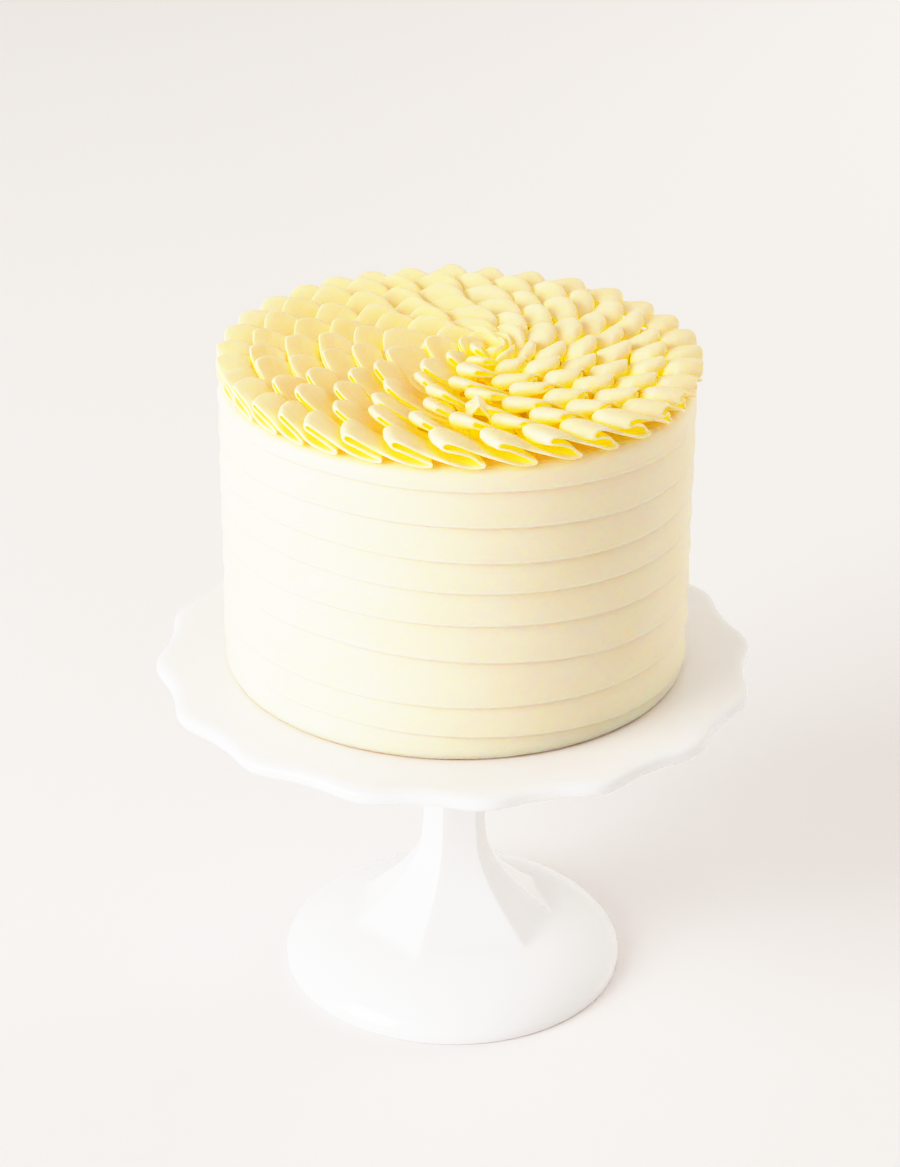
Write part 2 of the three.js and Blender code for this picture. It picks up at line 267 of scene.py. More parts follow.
@dataclass(frozen=True)
class SpreadButtercream:
    """Vanilla buttercream, spread with a long spatula.

    The eye gets a soft satin sheen, fine drag marks along the spatula's way, a few burst air bubbles and
    faint cloudy patches where the icing is thicker.
    """

    cream: str = "#f9eedd"
    shade: str = "#f8ead4"
    patch_mm: float = 22.0
    drag_mm: float = 1.6
    drag_stretch: float = 5.0
    bubble_mm: float = 2.6

    def material(self) -> Material:
        """Builds the material, and returns it."""
        settings = {
            "IOR": 1.45,
            "Roughness": 0.5,
            "Subsurface Weight": 0.7,
            "Subsurface Scale": 0.012,
            "Subsurface Radius": (1.0, 0.6, 0.2),
        }
        made, tree, shader = start_material("spread_buttercream", settings)
        place = add_node(tree, "ShaderNodeTexCoord").outputs["Object"]
        size = {"Scale": 1 / (self.patch_mm * METRES), "Detail": 3.0}
        patches = add_node(tree, "ShaderNodeTexNoise", size, {"Vector": place})
        ends = {"data_type": "RGBA", 6: linear_colour(self.cream), 7: linear_colour(self.shade)}
        colour = add_node(tree, "ShaderNodeMix", ends, {"Factor": patches.outputs["Fac"]})
        along = add_node(tree, "ShaderNodeMapping", {"Scale": (1, 1, self.drag_stretch)}, {"Vector": place})
        size = {"Scale": 1 / (self.drag_stretch * self.drag_mm * METRES), "Detail": 4.0}
        drag = add_node(tree, "ShaderNodeTexNoise", size, {"Vector": along.outputs["Vector"]})
        size = {"Scale": 1 / (self.bubble_mm * METRES)}
        bubbles = add_node(tree, "ShaderNodeTexVoronoi", size, {"Vector": place})
        ends = {"From Min": 0.0, "From Max": 0.16, "To Min": -1.2, "To Max": 0.0}
        pits = add_node(tree, "ShaderNodeMapRange", ends, {"Value": bubbles.outputs["Distance"]})
        added = {0: drag.outputs["Fac"], 1: pits.outputs["Result"]}
        height = add_node(tree, "ShaderNodeMath", {"operation": "ADD"}, added).outputs["Value"]
        bump = add_node(tree, "ShaderNodeBump", {"Strength": 0.25, "Distance": 0.0004}, {"Height": height})
        tree.links.new(colour.outputs[2], shader.inputs["Base Color"])
        tree.links.new(bump.outputs["Normal"], shader.inputs["Normal"])
        return made


@dataclass(frozen=True)
class PipedButtercream:
    """Lemon buttercream, piped through a petal tip.

    The eye gets a pale butter yellow where light falls on it, deeper yellow in random patches, and a fine
    grain.
    A painted highlight makes the thin, sharp edges of the ribbon paler, and painted shade makes its creases
    deeper. Painted shade in golden yellow fills the hollows between the folds, standing in for light that has
    wandered through many ribbons. Traced paths don't carry it that far in, so the icing also gives off a
    little painted glow, most of it in its hollows.
    """

    lemon: str = "#fbeae0"
    # Painted shade: this deeper yellow fills random patches and, through pointiness, the ribbon's creases.
    deep_patches_and_crease_shade: str = "#f8e4b0"
    # Painted shade: this golden yellow is mixed into the hollows between the folds by ambient occlusion.
    hollow_shade_gold: str = "#fbe47a"
    # Painted glow: the colour of the light that the icing gives off, most of it in its hollows.
    glow: tuple[float, float, float] = (0.095, 0.192, 0.0)
    hollow_mm: float = 6.0
    hollow_shares: Pair = (0.05, 0.66)
    patch_mm: float = 9.0
    grain_mm: float = 0.9

    def material(self) -> Material:
        """Builds the material, and returns it."""
        settings = {
            "IOR": 1.45,
            "Roughness": 0.48,
            "Emission Color": (*self.glow, 1.0),
            "Subsurface Weight": 0.5,
            "Subsurface Scale": 0.002,
            "Subsurface Radius": (1.0, 0.6, 0.15),
        }
        made, tree, shader = start_material("piped_lemon_buttercream", settings)
        place = add_node(tree, "ShaderNodeTexCoord").outputs["Object"]
        size = {"Scale": 1 / (self.patch_mm * METRES), "Detail": 2.0}
        patches = add_node(tree, "ShaderNodeTexNoise", size, {"Vector": place})
        # Painted highlight and shade: pointiness makes the thin, sharp edges of the ribbon paler and its
        # creases deeper.
        sharp = add_node(tree, "ShaderNodeNewGeometry").outputs["Pointiness"]
        ends = {"From Min": 0.46, "From Max": 0.58, "To Min": -0.15, "To Max": 0.85}
        edges = add_node(tree, "ShaderNodeMapRange", ends, {"Value": sharp})
        half = {"operation": "MULTIPLY_ADD", "use_clamp": True, 1: 0.5}
        added = {0: patches.outputs["Fac"], 2: edges.outputs["Result"]}
        pale = add_node(tree, "ShaderNodeMath", half, added)
        ends = {"data_type": "RGBA", 6: linear_colour(self.deep_patches_and_crease_shade), 7: linear_colour(self.lemon)}
        colour = add_node(tree, "ShaderNodeMix", ends, {"Factor": pale.outputs["Value"]})
        # Painted shade: ambient occlusion mixes a golden yellow into the hollows between the folds.
        reach = {"samples": 6, "Distance": self.hollow_mm * METRES}
        hollows = add_node(tree, "ShaderNodeAmbientOcclusion", reach).outputs["AO"]
        shares = {"From Min": self.hollow_shares[0], "From Max": self.hollow_shares[1]}
        out = add_node(tree, "ShaderNodeMapRange", shares, {"Value": hollows}).outputs["Result"]
        ends = {"data_type": "RGBA", 6: linear_colour(self.hollow_shade_gold)}
        painted_shade_colour = add_node(tree, "ShaderNodeMix", ends, {"Factor": out, 7: colour.outputs[2]})
        # Painted glow: the icing gives off some light everywhere, and most in its closed hollows.
        strengths = {**shares, "To Min": 1.0, "To Max": 0.15}
        glowing = add_node(tree, "ShaderNodeMapRange", strengths, {"Value": hollows})
        size = {"Scale": 1 / (self.grain_mm * METRES), "Detail": 3.0}
        grain = add_node(tree, "ShaderNodeTexNoise", size, {"Vector": place}).outputs["Fac"]
        bump = add_node(tree, "ShaderNodeBump", {"Strength": 0.18, "Distance": 0.0002}, {"Height": grain})
        tree.links.new(painted_shade_colour.outputs[2], shader.inputs["Base Color"])
        tree.links.new(glowing.outputs["Result"], shader.inputs["Emission Strength"])
        tree.links.new(bump.outputs["Normal"], shader.inputs["Normal"])
        return made


@dataclass(frozen=True)
class StudioPaper:
    """Matte white seamless paper under the stand, with no visible grain at this distance."""

    white: str = "#f5f2f1"

    def material(self) -> Material:
        """Builds the material, and returns it."""
        settings = {"Base Color": linear_colour(self.white), "Roughness": 0.9, "Specular IOR Level": 0.1}
        return start_material("seamless_paper", settings)[0]


# The stand


@dataclass
class CakeStand:
    """The footed plate, as one closed surface round the axis."""

    plate_radius: float = 114.2
    lobes: int = 16
    lobe_depth: float = 3.6
    first_lobe: float = math.radians(5.5)
    rim_thickness: float = 5.6
    rim_bow: float = 3.2
    rim_power: float = 0.85
    rim_dip: float = 0.2
    plate_thickness: float = 12.0
    hub_radius: float = 20.0
    panel_corners: Values = (-111, -44.4, -3.8, 38, 77, 115, 153, 197)
    panel_sharpness: float = 70.0
    flare_heights: Values = (10, 19.5, 24, 32, 40, 50, 60, 75, 105, 124)
    flare_radii: Values = (48, 39.6, 35, 26.4, 19.6, 14.4, 12.7, 12.4, 12.4, 15)
    foot_radius: float = 66.7
    foot_edge: float = 3.0
    dome_rise: float = 19.0
    dome_power: float = 3.0
    dome_roundness: float = 1 / 1.6
    foot_round: float = 0.9
    hollow_radius: float = 52.0
    hollow_depth: float = 10.0
    hollow_round: float = 0.8
    halvings: int = 30
    joint_rows: int = 4
    joint_passes: int = 5
    columns: int = 576

    def rim(self, angle: Array) -> Array:
        """The plate's radius at an angle: a raised cosine to a power, with round tips and shallow hollows."""
        wave = (1 + np.cos(self.lobes * (angle - self.first_lobe))) / 2
        return self.plate_radius - self.lobe_depth * (1 - wave**1.3)

    def dome(self, radius: Array) -> Array:
        """The height of the foot's dome at a radius: rise * (1 - (r / R)^power)^roundness over its edge."""
        inside = np.clip(1 - (radius / self.foot_radius) ** self.dome_power, 0, 1)
        return self.foot_edge + self.dome_rise * inside**self.dome_roundness

    def panel_share(self, angle: Array) -> Array:
        """How far out the pedestal's panels stand at an angle, as a share of the corner radius.

        Each panel is a flat chord, at cos(half its width) / cos(angle from its middle). A high power mean
        of all eight takes the nearest one and rounds the corners a little, as fire polishing does.

        Args:
            angle: Angles round the axis, in radians.

        Returns:
            Shares of the corner radius.
        """
        corners = np.radians(self.panel_corners)
        following = np.append(corners[1:], corners[0] + TAU)
        middles, halves = (corners + following) / 2, (following - corners) / 2
        facing = np.cos(angle[:, None] - middles[None, :])
        inverse = np.clip(facing, 1e-6, None) / np.cos(halves)[None, :]
        return (inverse**self.panel_sharpness).sum(axis=1) ** (-1 / self.panel_sharpness)

    def corner_radius(self, height: Array) -> Array:
        """The pedestal's corner radius at a height: cubics through the measured radii, with slopes taken
        from both sides of each.

        Args:
            height: Heights above the table.

        Returns:
            Radii.
        """
        z, r = np.array(self.flare_heights, float), np.array(self.flare_radii, float)
        slope = np.gradient(r, z)
        k = np.clip(np.searchsorted(z, height) - 1, 0, len(z) - 2)
        step = z[k + 1] - z[k]
        t = np.clip((height - z[k]) / step, 0, 1)
        return cubic(t, r[k], r[k + 1], step * slope[k], step * slope[k + 1])

    def junction(self, share: Array) -> Array:
        """The height at which the pedestal leaves the dome at each angle, by halving the interval.

        Args:
            share: The panels' share of the corner radius at each angle.

        Returns:
            Heights where both surfaces have the same radius.
        """
        low = np.full_like(share, self.foot_edge + 9)
        high = np.full_like(share, self.foot_edge + self.dome_rise - 0.1)
        for _ in range(self.halvings):
            middle = (low + high) / 2
            below = self.dome(self.corner_radius(middle) * share) > middle
            low, high = np.where(below, middle, low), np.where(below, high, middle)
        return (low + high) / 2

    def rows(self, angle: Array) -> Array:
        """All rows of the surface from the hollow's centre, down and out round the foot, up the pedestal,
        out under the plate, round its rim and in over the top.

        Where the pedestal meets the foot, each row is drawn towards its neighbours a few times, which
        leaves a soft joint.

        Args:
            angle: The columns' angles, in radians.

        Returns:
            Array of shape (rows, columns, 2) with radius and height.
        """
        share = self.panel_share(angle)
        joint_height = self.junction(share)
        joint_radius = self.corner_radius(joint_height) * share
        rim = self.rim(angle)
        one = np.ones_like(angle)
        made: list[Array] = []

        def add(radius: Array | float, height: Array | float) -> None:
            """Adds one row."""
            made.append(np.stack([radius * one, height * one], axis=-1))

        def arc(centre: Pair, size: Pair, turns: Pair, steps: int) -> None:
            """Adds the rows of part of an ellipse, between two angles in degrees from level."""
            for turn in np.radians(np.linspace(*turns, steps)):
                add(centre[0] + size[0] * math.cos(turn), centre[1] + size[1] * math.sin(turn))

        for radius in (8, 20, 32, 42, self.hollow_radius - 6):
            add(radius, self.hollow_depth)
        arc((self.hollow_radius - 4, self.hollow_depth - 3), (3.4, 3), (90, 0), 6)
        edge = self.hollow_round
        arc((self.hollow_radius + edge, edge), (edge, edge), (180, 270), 5)
        for radius in (self.hollow_radius + 5, self.foot_radius - 5):
            add(radius, 0)
        edge = self.foot_round
        arc((self.foot_radius - edge, edge), (edge, edge), (-90, 0), 5)
        for t in np.linspace(0, 1, 34):
            radius = self.foot_radius - (self.foot_radius - joint_radius) * t**1.9
            add(radius, self.dome(radius))
        joint = len(made) - 1
        top = self.flare_heights[-1]
        for t in (0.004, 0.012, *np.linspace(0.03, 1, 36)):
            height = joint_height + (top - joint_height) * t
            round_off = smooth_step(height, 100, top)
            add(self.corner_radius(height) * (share + (0.95 - share) * round_off), height)
        under = PLATE_TOP - self.plate_thickness
        for radius, height in ((17.0, under - 0.2), (self.hub_radius, under + 0.1), (30, under + 1.2)):
            add(radius, height)
        for radius in (44, self.plate_radius / 2, 72, 88):
            flat = (radius - self.plate_radius / 2) / (self.plate_radius / 2 - 5)
            add(radius, PLATE_TOP - self.plate_thickness * 0.68 + 2.56 * flat)
        low, high = PLATE_TOP - self.rim_thickness, PLATE_TOP
        for by in (14, 9, 6):
            add(rim - by, low - 0.035 * (by - 5))
        middle, half = (low + high) / 2 - self.rim_dip, self.rim_thickness / 2
        for turn in np.radians(np.linspace(-90, 90, 19)):
            climb = np.sign(math.sin(turn)) * abs(math.sin(turn)) ** self.rim_power
            out = rim - self.rim_bow + self.rim_bow * math.cos(turn) ** 0.8
            add(out, middle + half * climb + self.rim_dip * (climb > 0.99))
        for by in (5, 9, 16):
            add(rim - by, high)
        for radius in (88, 60, 30, 8):
            add(radius, high)
        rows = np.array(made)
        near = slice(joint - self.joint_rows, joint + self.joint_rows + 1)
        for _ in range(self.joint_passes):
            either_side = np.roll(rows, 1, axis=0) + np.roll(rows, -1, axis=0)
            rows[near] = (2 * rows + either_side)[near] / 4
        return rows

    def build(self, finish: Material) -> list[Object]:
        """Builds the stand's one surface, with a point on the axis at each end.

        Args:
            finish: The glass.

        Returns:
            The piece, in a list.
        """
        angle = self.first_lobe + TAU * np.arange(self.columns) / self.columns
        radius, height = np.moveaxis(self.rows(angle), -1, 0)
        grid = np.stack([radius * np.cos(angle), radius * np.sin(angle), height], axis=-1)
        points, faces = capped_grid(grid, [0, 0, self.hollow_depth], [0, 0, PLATE_TOP])
        piece = mesh_piece("glass_stand", points, faces, finish)
        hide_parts("stand")
        return [piece]


# The cake


@dataclass
class IcedCake:
    """The cake with its spread icing: one strip wound down the side like a thread."""

    radius: float = 87.0
    base: float = PLATE_TOP + RESTING_GAP
    top_round: float = 3.5
    base_round: float = 0.8
    lines: Values = (131, 119, 107.2, 94, 80.8, 69, 55, 42, 23.5, 13, -4, -14)
    start: float = math.radians(-166)
    fall_angles: Values = (0, 45, 81, 119, 126, 360)
    fall_shares: Values = (0, 0, 0.18, 0.38, 0.4, 1)
    wander: Waves = ((0.7, 0.83, 1.07), (0.4, 2.3, -0.88))
    tuck: float = 0.45
    bulge: float = 0.7
    lip: float = 0.3
    lip_middle: float = 0.955
    lip_width: float = 0.04
    columns: int = 400
    band_rows: int = 16

    @property
    def height(self) -> float:
        """The height of the cake over its base."""
        return CAKE_TOP - self.base

    def line_height(self, wound: Array) -> Array:
        """The spatula line's height over the base at a total angle wound from its start.

        Each turn falls from its line to the next by shares that depend on the angle in the turn, and two
        slow sines let it wander.

        Args:
            wound: Total angles in radians.

        Returns:
            Heights in millimetres.
        """
        lines = np.array(self.lines, float)
        turn = np.minimum(np.floor(wound / TAU + 1e-9), len(lines) - 2).astype(int)
        share = np.interp(np.degrees(wound - turn * TAU), self.fall_angles, self.fall_shares)
        wander = sum(size * np.sin(rate * wound + phase) for size, rate, phase in self.wander)
        return lines[turn] + (lines[turn + 1] - lines[turn]) * share + wander

    def strength(self, height: Array) -> Array:
        """How strong the bands are at a height: they fade at the base and over the top edge."""
        rise = smooth_step(height, self.base_round, 4)
        return rise * (1 - smooth_step(height, self.height - self.top_round - 2, self.height))

    def relief(self, share: Array, wound: Array) -> Array:
        """How far the icing stands out across a band: a quick rise from the notch, a long convex face and
        a small burr at the lower lip, which is stronger in some places than in others.

        Args:
            share: The place across the band, 0 at its upper line and 1 at its lower one.
            wound: Total angles in radians.

        Returns:
            Distances outwards in millimetres.
        """
        face = -self.tuck + (self.tuck + self.bulge) * (1 - (1 - share) ** 3)
        from_lip = (share - self.lip_middle) / self.lip_width
        burr = self.lip * (0.75 + 0.5 * np.sin(3.1 * wound + 2)) * np.exp(-(from_lip**2))
        uneven = 0.09 * np.sin(5.3 * wound + 4 * share) + 0.06 * np.sin(13.7 * wound - 3 * share)
        return face + burr + uneven * np.sin(math.pi * share)

    def surface(self, wound: Array, height: Array, relief: Array) -> Array:
        """Points of the icing by angle and by height measured along the outline: up the side, round the top
        edge and in over the flat top, or in under the base.

        Args:
            wound: Total angles in radians.
            height: Lengths along the outline from the base.
            relief: Distances outwards.

        Returns:
            Array of points with a last axis of 3.
        """
        side_top = self.height - self.top_round
        turned = np.clip((height - side_top) / self.top_round, 0, math.pi / 2)
        inward = np.clip(height - side_top - self.top_round * math.pi / 2, 0, None)
        under = np.clip(self.base_round - height, 0, None)
        radius = self.radius - self.top_round * (1 - np.cos(turned)) - inward - under
        radius = radius + relief * np.cos(turned)
        z = np.clip(height, 0, side_top) + self.top_round * np.sin(turned)
        z = np.where(height < self.base_round, np.clip(self.base_round - under, 0, None), z)
        angle = self.start + wound
        return np.stack([radius * np.cos(angle), radius * np.sin(angle), self.base + z], axis=-1)

    def build(self, finish: Material) -> list[Object]:
        """Builds the strip, joins each turn to the next, and closes the flat top and the base with fans.

        Args:
            finish: The spread icing.

        Returns:
            The piece, in a list.
        """
        turns, n = len(self.lines) - 2, self.columns
        count = turns * n
        wound = (TAU * np.arange(count + 1) / n)[:, None]
        even = np.linspace(0, 1, self.band_rows)
        share = (0.35 * ((1 - np.cos(math.pi * even)) / 2) + 0.65 * even**0.8)[None, :]
        upper, lower = self.line_height(wound), self.line_height(wound + TAU)
        height = upper + (lower - upper) * share
        relief = self.relief(share, wound - TAU) * self.strength(height)
        grid = self.surface(np.broadcast_to(wound, height.shape), height, relief)
        rows = self.band_rows
        points = np.vstack([grid.reshape(-1, 3), [[0, 0, CAKE_TOP], [0, 0, self.base]]])
        step, row = np.arange(count)[:, None], np.arange(rows - 1)[None, :]
        here, following = step * rows + row, (step + 1) * rows + row
        faces = np.stack([here + 1, following + 1, following, here], axis=-1).reshape(-1, 4).tolist()
        i = np.arange(count - n)
        ledge = [(i + n) * rows, (i + n + 1) * rows, (i + 1) * rows + rows - 1, i * rows + rows - 1]
        faces += np.stack(ledge, axis=-1).tolist()
        top_edge = np.concatenate([np.arange(n + 1) * rows, np.arange(rows - 1, 0, -1)])
        last_turn = np.arange(count, count - n - 1, -1) * rows + rows - 1
        faces += fan_faces(len(points) - 2, top_edge)
        faces += fan_faces(len(points) - 1, np.concatenate([last_turn, count * rows + np.arange(rows - 1)]))
        piece = mesh_piece("iced_cake", points, faces, finish)
        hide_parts("cake")
        return [piece]


# The ruffles


class Trait(Enum):
    """What differs from fold to fold: where its scatter starts, and its largest difference from 1."""

    SPACING = (0, 0.09)
    PINCH = (10, 0.3)
    OPENING = (20, 0.16)
    NOSE = (30, 0.25)
    SKEW = (40, 1.0)
    HEIGHT = (50, 0.06)
    LENGTH = (70, 1.0)
    SLOPE = (80, 0.12)


@dataclass(frozen=True)
class FoldShapes:
    """The shape of the folds at angles round the cake.

    The three openings are half the height of the loop at the ribbon's outer edge, middle and inner edge.
    The rise is a factor on the crest's height, the fall is how much lower the crest is at the inner edge,
    and the lag is how far clockwise the inner edge stands. The reach is how far the tail lies behind the
    bend, as a share of the pitch. The slopes of the upper leg at its bend and at its tail are in degrees: a
    steep bend gives a hanging leg, a negative one a nose that droops.
    """

    at: Values
    outer: Values
    middle: Values
    inner: Values
    rise: Values
    fall: Values
    lag: Values
    reach: Values
    bend: Values
    tail: Values


@dataclass(frozen=True)
class StandingLoop:
    """A stray loop of the ribbon that stands up out of its ring, shaped like a drop when seen end on.

    The place is the middle of its near end, which looks towards the facing angle, in degrees.
    """

    place: Pair
    facing: float
    width: float
    height: float
    depth: float
    thickness: float
    lean: float

    def shell(self) -> tuple[Array, Faces]:
        """The loop's closed surface.

        The ribbon's middle line is a drop with its tip on top, x = w sin(a) sin(a/2) and
        z = h (1 + cos(a)) / 2, thickened along its own normals. Both of its ends are half round.

        Returns:
            The points in millimetres, and the quads between them.
        """
        a = TAU * np.arange(72)[None, :] / 72
        aside = self.width / 1.54 * np.sin(a) * np.sin(a / 2)
        z = self.thickness / 2 + (self.height - self.thickness) * (1 + np.cos(a)) / 2
        run, climb = (np.roll(line, -1) - np.roll(line, 1) for line in (aside, z))
        size = np.hypot(run, climb)
        turn = np.linspace(0, math.pi, 13)[:, None]
        end = self.thickness / 2 * (1 - np.sin(turn))
        half = self.thickness / 2 * np.cos(turn)
        inwards = np.concatenate([self.depth - end, end])
        off = np.concatenate([half, -half])
        aside = aside + off * climb / size + self.lean * z / self.height
        z = z - off * run / size
        facing = math.radians(self.facing)
        x = self.place[0] - inwards * math.cos(facing) - aside * math.sin(facing)
        y = self.place[1] - inwards * math.sin(facing) + aside * math.cos(facing)
        grid = np.moveaxis(np.stack([x, y, CAKE_TOP + RESTING_GAP + z], axis=-1), 0, 1)
        return grid.reshape(-1, 3), grid_faces(grid.shape[0], grid.shape[1], close_rows=True)


@dataclass
class RuffleRing:
    """One ring of piped ruffles: a ribbon that folds back over itself all the way round.

    Along a fold the ribbon goes round the bend, which points clockwise, back along the lower leg to the
    tail, and up the long upper leg of the fold before. Each profile is a row of pairs: a share of the way
    from the outer edge to the inner one, and a length in millimetres.
    """

    number: int
    outer: float
    inner: float
    folds: int
    first_bend: float
    outer_centre: Pair
    inner_centre: Pair
    stray: StandingLoop | None
    crest: Profile = ((0, 11.8), (0.15, 12.2), (0.5, 12.0), (0.8, 11.4), (1, 10.6))
    nose: Profile = ((0, -0.8), (0.15, 0.7), (0.45, 2.2), (0.75, 1.4), (1, -0.2))
    shapes: FoldShapes = FoldShapes(
        at=(-180, -135, -100, -70, -35, 0, 45, 75, 110, 150),
        outer=(1.0, 0.95, 1.0, 1.0, 1.2, 1.2, 1.2, 1.1, 1.0, 1.0),
        middle=(1.2, 1.2, 1.7, 2.4, 2.8, 2.9, 2.9, 2.4, 1.5, 1.3),
        inner=(1.0, 1.0, 1.1, 1.5, 1.8, 1.8, 1.6, 1.4, 1.0, 0.9),
        rise=(1.0, 1.0, 1.0, 0.98, 0.93, 0.92, 0.92, 0.96, 0.98, 1.0),
        fall=(2.5, 1.5, 0.8, 0.8, 1.2, 2.0, 2.6, 4.0, 4.8, 4.2),
        lag=(2, 2, 3, 4, 3, 3, 4, 6, 8, 6),
        reach=(0.62, 0.62, 0.6, 0.5, 0.3, 0.2, 0.2, 0.35, 0.55, 0.6),
        bend=(36, 40, 30, 4, -20, -24, -22, -2, 24, 34),
        tail=(10, 4, 4, 6, 2, 0, 0, 8, 16, 12),
    )
    tail_height: float = 0.2
    pinch: float = 1.25
    thickness: float = 1.1
    bend_wall: float = 1.5
    tail_radius: float = 0.6
    tail_length: float = 1.4
    steepest_tail: float = 20
    widest: float = 0.3
    closing: float = 0.7
    skew: float = 1.3
    edge_swell: float = 0.7
    edge_droop: float = 0.0
    spacing_waves: Waves = ((2.0, 1, 150),)
    samples: tuple[int, int, int, int] = (12, 12, 6, 16)
    stations: int = 20

    def uneven(self, fold: Array, trait: Trait) -> Array:
        """A factor near 1 that differs from fold to fold: 1 + size * scatter."""
        start, size = trait.value
        return 1 + size * scatter(100 * (self.number - 1) + np.mod(fold, self.folds) + start)

    def angle(self, place: Array) -> Array:
        """The angle at a place along the ring, counted in folds from the first bend.

        Evenly spaced folds are shifted by waves round the ring, and each by a small scatter.

        Args:
            place: Places, which may lie between folds.

        Returns:
            Angles in radians.
        """
        whole = np.floor(place)
        here, following = (self.uneven(n, Trait.SPACING) - 1 for n in (whole, whole + 1))
        even = self.first_bend + 360 * place / self.folds
        size, waves, phase = np.array(self.spacing_waves, float).T
        shift = (size * np.sin(np.radians(waves * even[..., None] + phase))).sum(axis=-1)
        return np.radians(even + shift + 360 * (here + (following - here) * (place - whole)) / self.folds)

    def across(self) -> tuple[Array, Array]:
        """The stations from the outer edge to the inner one, and the share of the full thickness at each.

        Both edges are half round: the thickness follows a quarter circle over half its own length.

        Returns:
            Shares of the way across, and shares of the thickness.
        """
        edge = 0.5 * self.thickness / abs(self.outer - self.inner)
        turn = np.linspace(0, math.pi / 2, 5)
        start, start_full = edge * (1 - np.cos(turn)), np.sin(turn)
        middle = np.linspace(edge, 1 - edge, self.stations)[1:-1]
        shares = np.concatenate([start, middle, 1 - start[::-1]])
        return shares, np.concatenate([start_full, np.ones_like(middle), start_full[::-1]])

    def along_profile(self, profile: Profile, v: Array) -> Array:
        """A profile's value at shares of the way in, by straight lines whose corners are eased.

        Args:
            profile: Pairs of share and length.
            v: Shares of the way in.

        Returns:
            Lengths in millimetres, of the shape of v.
        """
        shares, lengths = np.array(profile, float).T
        fine = np.linspace(-0.1, 1.1, 121)
        line = np.interp(fine, shares, lengths)
        weights = np.hanning(15)
        eased = np.convolve(np.pad(line, 7, mode="edge"), weights / weights.sum(), mode="valid")
        return np.interp(v, fine, eased)

    def shape(self, fold: Array, name: str) -> Array:
        """One field of the folds' shapes, taken between the angles at which it is given."""
        degrees = np.degrees(self.angle(np.asarray(fold, float)))
        return np.interp(degrees, self.shapes.at, getattr(self.shapes, name), period=360)

    def radius(self, v: Array) -> Array:
        """The radius at shares of the way in."""
        return self.outer + (self.inner - self.outer) * v

    def bend(self, fold: Array, v: Array) -> tuple[Array, ...]:
        """The sizes of a bend at each station.

        Args:
            fold: The folds' numbers.
            v: Shares of the way in.

        Returns:
            The crest's height, half the height of the loop, how far the bend stands clockwise of its place,
            how long the round of the bend is, and the slope of the legs there.
        """
        pitch = TAU * self.radius(v) / self.folds
        outer, middle, inner = (self.shape(fold, name) for name in ("outer", "middle", "inner"))
        half = outer + (inner - outer) * v + (middle - (outer + inner) / 2) * np.sin(math.pi * v)
        half = np.minimum(half * self.uneven(fold, Trait.OPENING), self.widest * pitch)
        height = self.along_profile(self.crest, v) * self.uneven(fold, Trait.HEIGHT)
        height = height * self.shape(fold, "rise") - self.shape(fold, "fall") * smooth_step(v, 0.0, 1.1)
        nose = self.along_profile(self.nose, v) * self.uneven(fold, Trait.NOSE)
        nose = nose + self.skew * (self.uneven(fold, Trait.SKEW) - 1) * (v - 0.5)
        length = np.minimum(half * (1.25 + 0.2 * self.uneven(fold, Trait.LENGTH)), self.widest * pitch)
        slope = np.radians(self.shape(fold, "bend")) * self.uneven(fold, Trait.SLOPE) + 0 * v
        return height, half, nose, length, slope

    def upper_height(self, fold: Array, share: Array, v: Array) -> Array:
        """The height of a fold's upper leg, a cubic that leaves the bend and reaches the next tail at their
        own slopes.

        Args:
            fold: The folds' numbers.
            share: The share of the way from the bend to the tail.
            v: Shares of the way in.

        Returns:
            Heights over the ring's base.
        """
        pitch = TAU * self.radius(v) / self.folds
        run = (1 + self.shape(fold + 1, "reach")) * pitch
        height, _, _, _, slope = self.bend(fold, v)
        low = self.thickness / 2 + self.tail_height
        most = 2.4 * (height - low)
        start_fall = np.minimum(np.tan(slope) * run, most)
        end_fall = np.minimum(np.tan(np.radians(self.shape(fold + 1, "tail"))) * run, most)
        return cubic(share, height, low, -start_fall, -end_fall)

    def midline(self, across: Array) -> tuple[Array, Array, Array, Array]:
        """The ribbon's middle surface, as length along the circle and height at each station.

        The bend and the tail are halves of ellipses, turned to the slope there. The upper leg is a cubic,
        and the lower leg keeps a distance below it that eases from the bend's height to the pinch and from
        there to the tail.

        Args:
            across: Shares of the way from the outer edge to the inner one.

        Returns:
            Lengths, heights, wall thicknesses and places in folds, of shape (stations, points).
        """
        v = across[:, None, None]
        fold = np.arange(self.folds, 0, -1)[None, :, None]
        radius = self.radius(v)
        low, c = self.thickness / 2 + self.tail_height, self.tail_radius
        long = self.tail_length * c
        reach = self.shape(fold, "reach")
        end = reach / (1 + self.shape(fold + 1, "reach"))
        height, half, nose, length, slope = self.bend(fold, v)
        shape = (len(across), self.folds)
        tail = np.radians(np.minimum(self.shape(fold, "tail"), self.steepest_tail))
        keep = 1 + self.uneven(fold, Trait.PINCH) * (self.pinch - 1)

        def leg_offset(nose_here: Array, lift: Array, share: Array) -> Array:
            """How far a leg stands from its place: the nose's shift and the bend's turn, both fading."""
            fade = 1 - smooth_step(share, 0.0, 0.3)
            return -nose_here * (1 - share) ** 2 + lift * fade

        phi = np.linspace(math.pi / 2, -math.pi / 2, self.samples[0], endpoint=False)
        bend_x = -nose + half * np.sin(phi) * np.sin(slope) - length * np.cos(phi) * np.cos(slope)
        bend_z = height - half * np.cos(slope) * (1 - np.sin(phi)) + length * np.cos(phi) * np.sin(slope)
        thick = np.clip(1.7 * half, 0.8 * self.thickness, self.bend_wall)
        wall = self.thickness + (thick - self.thickness) * np.cos(phi) ** 2

